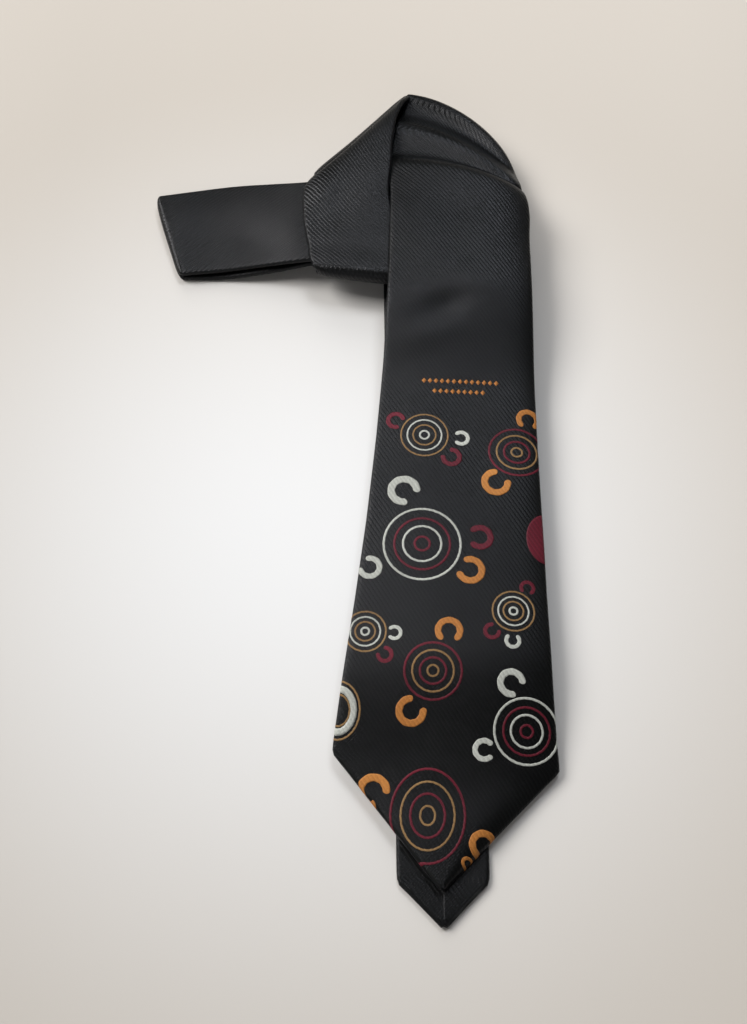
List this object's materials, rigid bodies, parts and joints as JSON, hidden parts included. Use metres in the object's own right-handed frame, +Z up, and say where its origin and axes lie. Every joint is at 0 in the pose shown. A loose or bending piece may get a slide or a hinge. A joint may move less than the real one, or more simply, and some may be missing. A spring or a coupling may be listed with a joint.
{
  "type": "necktie",
  "caption": "Dark ribbed woven necktie with a pattern of rings, folded for display with its neck loop wrapped flat at one side.",
  "frame": {"origin": "middle of the footprint, on the surface that the tie lies on", "axes": "+Z up from the surface, +Y from the tips along the blades to the rim, +X to the right; the neck loop points to -X"},
  "size_m": [0.1698, 0.3804, 0.0198],
  "materials": {
    "tie_cloth": "ribbed twill with a soft sheen",
    "interlining": "brushed wool felt",
    "tipping": "smooth satin lining",
    "thread": "twisted thread",
    "label_satin": "woven satin, blank",
    "care_tape": "woven tape, blank",
    "woven_white": "matt inlaid thread",
    "woven_gold": "satin inlaid thread",
    "woven_tan": "satin inlaid thread",
    "woven_maroon": "matt inlaid thread"
  },
  "bodies": {
    "root": {"blade_shell_upper": "tie_cloth", "neck_shell": "tie_cloth", "tail_shell_upper": "tie_cloth", "neck_interlining": "interlining", "neck_slip_stitch": "thread", "blade_neck_seam": "thread", "neck_tail_seam": "thread"},
    "front_blade": {"blade_shell": "tie_cloth", "blade_interlining": "interlining", "blade_lining": "tipping", "blade_slip_stitch": "thread", "blade_bar_tack": "thread", "keeper_loop": "tie_cloth", "keeper_stitches": "thread", "blank_label": "label_satin", "label_stitches": "thread", "care_tag": "care_tape"},
    "tail_blade": {"tail_shell": "tie_cloth", "tail_interlining": "interlining", "tail_lining": "tipping", "tail_slip_stitch": "thread", "tail_bar_tack": "thread"}
  },
  "joints": [
    {"name": "front_blade_lift", "type": "hinge", "parent": "root", "child": "front_blade", "pos_m": [0.0545, 0.11184, 0.01977], "axis": [-1, 0, 0], "range_deg": [0, 85]},
    {"name": "tail_swing", "type": "hinge", "parent": "root", "child": "tail_blade", "pos_m": [0.04112, 0.04384, 0.00677], "axis": [0, 0, 1], "range_deg": [-8, 8]}
  ]
}
